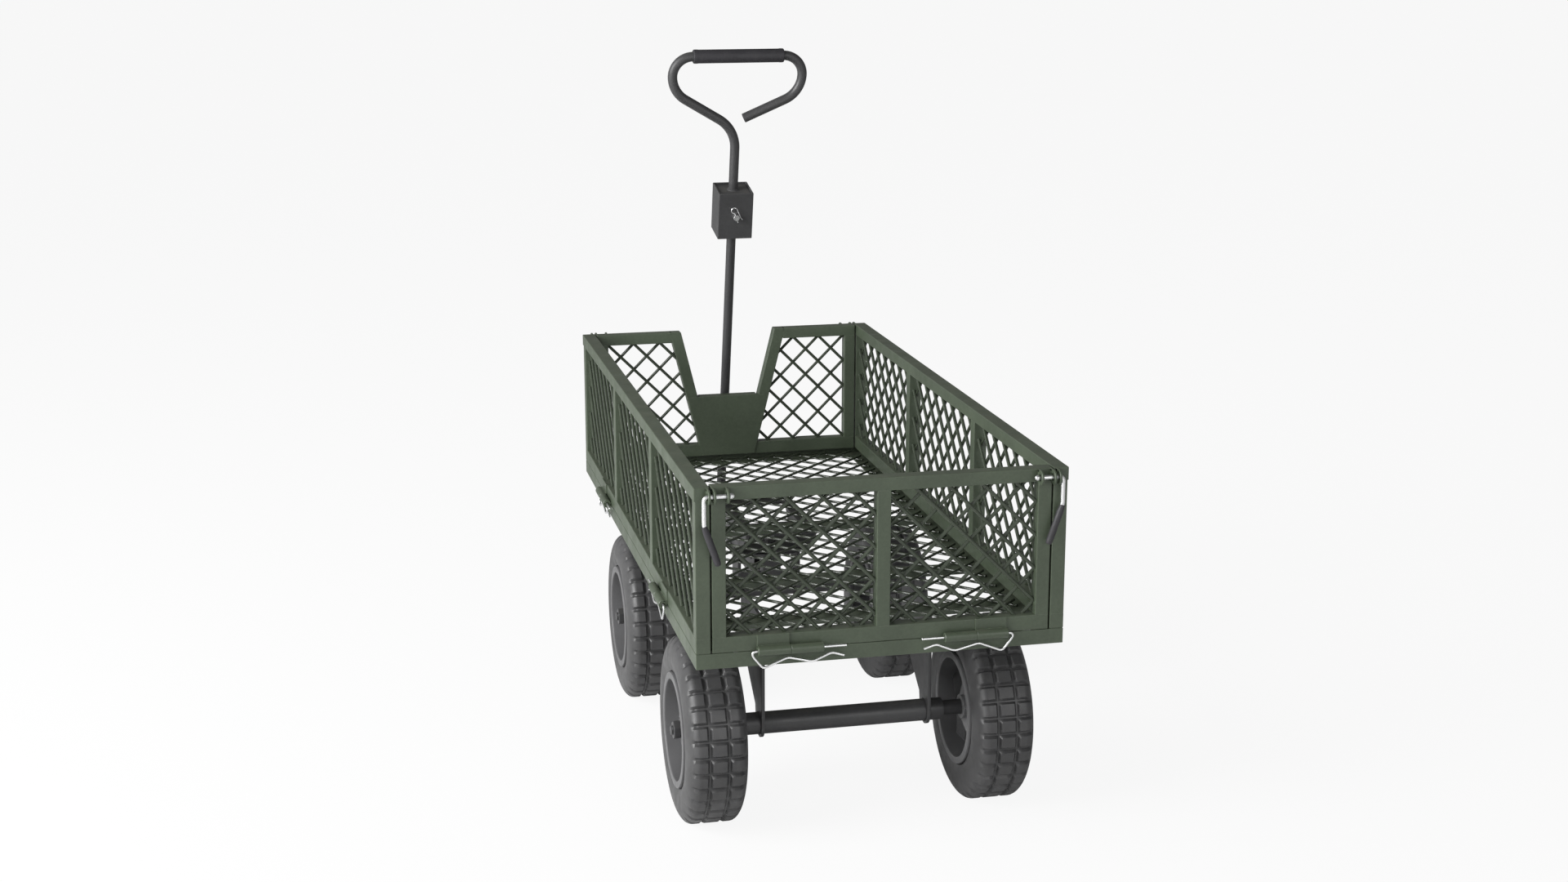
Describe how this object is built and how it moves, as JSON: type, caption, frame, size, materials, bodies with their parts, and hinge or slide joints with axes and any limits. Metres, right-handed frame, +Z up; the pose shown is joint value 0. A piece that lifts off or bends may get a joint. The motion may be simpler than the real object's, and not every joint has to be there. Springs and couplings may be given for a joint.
{
  "type": "tow behind cart",
  "caption": "Steel mesh garden cart with fold-down sides, steered front axle, air-style tyres and a pull handle with a pinned hitch box for towing.",
  "frame": {"origin": "on the ground, in the middle of the whole cart's footprint", "axes": "+Z up, +Y forward to the handle end, +X to the cart's right-hand side"},
  "size_m": [0.5346, 1.1666, 1.0415],
  "materials": {
    "green": "satin olive green powder coat",
    "charcoal": "satin charcoal powder coat",
    "zinc": "bright zinc plate",
    "tyre": "matt moulded rubber",
    "rim": "satin dark grey moulding",
    "grip": "matt rubber sleeve"
  },
  "bodies": {
    "bed": {"tray_frame": "green", "floor_mesh": "green", "front_frame": "green", "front_centre_plate": "green", "front_mesh_left": "green", "front_mesh_right": "green", "rear_axle": "charcoal", "rear_hanger_left": "charcoal", "rear_hanger_right": "charcoal", "wheel_nut_rear_left": "charcoal", "wheel_nut_rear_right": "charcoal", "front_support": "charcoal", "kingpin": "zinc"},
    "tailgate": {"tailgate_frame": "green", "tailgate_mesh_left": "green", "tailgate_mesh_right": "green"},
    "side_left": {"left_side_frame": "green", "left_side_mesh_rear": "green", "left_side_mesh_middle": "green", "left_side_mesh_front": "green"},
    "side_right": {"right_side_frame": "green", "right_side_mesh_rear": "green", "right_side_mesh_middle": "green", "right_side_mesh_front": "green"},
    "steering": {"steering_frame": "charcoal", "front_axle": "charcoal", "handle_pivot_bolt": "zinc", "wheel_nut_front_left": "charcoal", "wheel_nut_front_right": "charcoal"},
    "handle": {"tow_tube": "charcoal", "hitch_box": "charcoal", "hitch_pin": "zinc", "handle_loop": "charcoal", "handle_grip": "grip"},
    "clip": {"hitch_clip": "zinc"},
    "wheel_rear_left": {"tyre_rear_left": "tyre", "rim_rear_left": "rim"},
    "wheel_rear_right": {"tyre_rear_right": "tyre", "rim_rear_right": "rim"},
    "wheel_front_left": {"tyre_front_left": "tyre", "rim_front_left": "rim"},
    "wheel_front_right": {"tyre_front_right": "tyre", "rim_front_right": "rim"},
    "pin_rear_right": {"hinge_pin_rear_right": "zinc"},
    "pin_rear_left": {"hinge_pin_rear_left": "zinc"},
    "pin_front_left": {"hinge_pin_front_left": "zinc"},
    "pin_front_right": {"hinge_pin_front_right": "zinc"},
    "pin_left_rear": {"hinge_pin_left_rear": "zinc"},
    "pin_left_front": {"hinge_pin_left_front": "zinc"},
    "pin_right_front": {"hinge_pin_right_front": "zinc"},
    "pin_right_rear": {"hinge_pin_right_rear": "zinc"},
    "latch_rear_left": {"latch_pin_rear_left": "zinc", "latch_grip_rear_left": "grip"},
    "latch_rear_right": {"latch_pin_rear_right": "zinc", "latch_grip_rear_right": "grip"},
    "latch_front_left": {"latch_pin_front_left": "zinc", "latch_grip_front_left": "grip"},
    "latch_front_right": {"latch_pin_front_right": "zinc", "latch_grip_front_right": "grip"}
  },
  "joints": [
    {"name": "tailgate_fold", "type": "hinge", "parent": "bed", "child": "tailgate", "pos_m": [0, -0.56957, 0.3195], "axis": [1, 0, 0], "range_deg": [0, 180]},
    {"name": "left_side_fold", "type": "hinge", "parent": "bed", "child": "side_left", "pos_m": [-0.2608, -0.02927, 0.3195], "axis": [0, -1, 0], "range_deg": [0, 180]},
    {"name": "right_side_fold", "type": "hinge", "parent": "bed", "child": "side_right", "pos_m": [0.2608, -0.02927, 0.3195], "axis": [0, 1, 0], "range_deg": [0, 180]},
    {"name": "steering_swivel", "type": "hinge", "parent": "bed", "child": "steering", "pos_m": [0, 0.17073, 0.243], "axis": [0, 0, 1], "range_deg": [-6, 6]},
    {"name": "handle_fold", "type": "hinge", "parent": "steering", "child": "handle", "pos_m": [0, 0.57127, 0.177], "axis": [-1, 0, 0], "range_deg": [0, 105]},
    {"name": "wheel_spin_rear_left", "type": "hinge", "parent": "bed", "child": "wheel_rear_left", "pos_m": [-0.207, -0.35327, 0.134], "axis": [1, 0, 0], "continuous": true},
    {"name": "wheel_spin_rear_right", "type": "hinge", "parent": "bed", "child": "wheel_rear_right", "pos_m": [0.207, -0.35327, 0.134], "axis": [1, 0, 0], "continuous": true},
    {"name": "wheel_spin_front_left", "type": "hinge", "parent": "steering", "child": "wheel_front_left", "pos_m": [-0.207, 0.17073, 0.134], "axis": [1, 0, 0], "continuous": true},
    {"name": "wheel_spin_front_right", "type": "hinge", "parent": "steering", "child": "wheel_front_right", "pos_m": [0.207, 0.17073, 0.134], "axis": [1, 0, 0], "continuous": true},
    {"name": "hitch_clip_pull", "type": "slide", "parent": "handle", "child": "clip", "axis": [0.3256, 0.2079, -0.9224], "range_m": [-0.03, 0]},
    {"name": "pull_rear_right", "type": "slide", "parent": "bed", "child": "pin_rear_right", "axis": [-1, 0, 0], "range_m": [-0.13, 0]},
    {"name": "pull_rear_left", "type": "slide", "parent": "bed", "child": "pin_rear_left", "axis": [1, 0, 0], "range_m": [-0.13, 0]},
    {"name": "pull_front_left", "type": "slide", "parent": "bed", "child": "pin_front_left", "axis": [1, 0, 0], "range_m": [-0.13, 0]},
    {"name": "pull_front_right", "type": "slide", "parent": "bed", "child": "pin_front_right", "axis": [-1, 0, 0], "range_m": [-0.13, 0]},
    {"name": "pull_left_rear", "type": "slide", "parent": "bed", "child": "pin_left_rear", "axis": [0, 1, 0], "range_m": [-0.13, 0]},
    {"name": "pull_left_front", "type": "slide", "parent": "bed", "child": "pin_left_front", "axis": [0, -1, 0], "range_m": [-0.13, 0]},
    {"name": "pull_right_front", "type": "slide", "parent": "bed", "child": "pin_right_front", "axis": [0, -1, 0], "range_m": [-0.13, 0]},
    {"name": "pull_right_rear", "type": "slide", "parent": "bed", "child": "pin_right_rear", "axis": [0, 1, 0], "range_m": [-0.13, 0]},
    {"name": "latch_pull_rear_left", "type": "slide", "parent": "tailgate", "child": "latch_rear_left", "axis": [1, 0, 0], "range_m": [-0.04, 0]},
    {"name": "latch_pull_rear_right", "type": "slide", "parent": "tailgate", "child": "latch_rear_right", "axis": [-1, 0, 0], "range_m": [-0.04, 0]},
    {"name": "latch_pull_front_left", "type": "slide", "parent": "bed", "child": "latch_front_left", "axis": [1, 0, 0], "range_m": [-0.04, 0]},
    {"name": "latch_pull_front_right", "type": "slide", "parent": "bed", "child": "latch_front_right", "axis": [-1, 0, 0], "range_m": [-0.04, 0]}
  ]
}
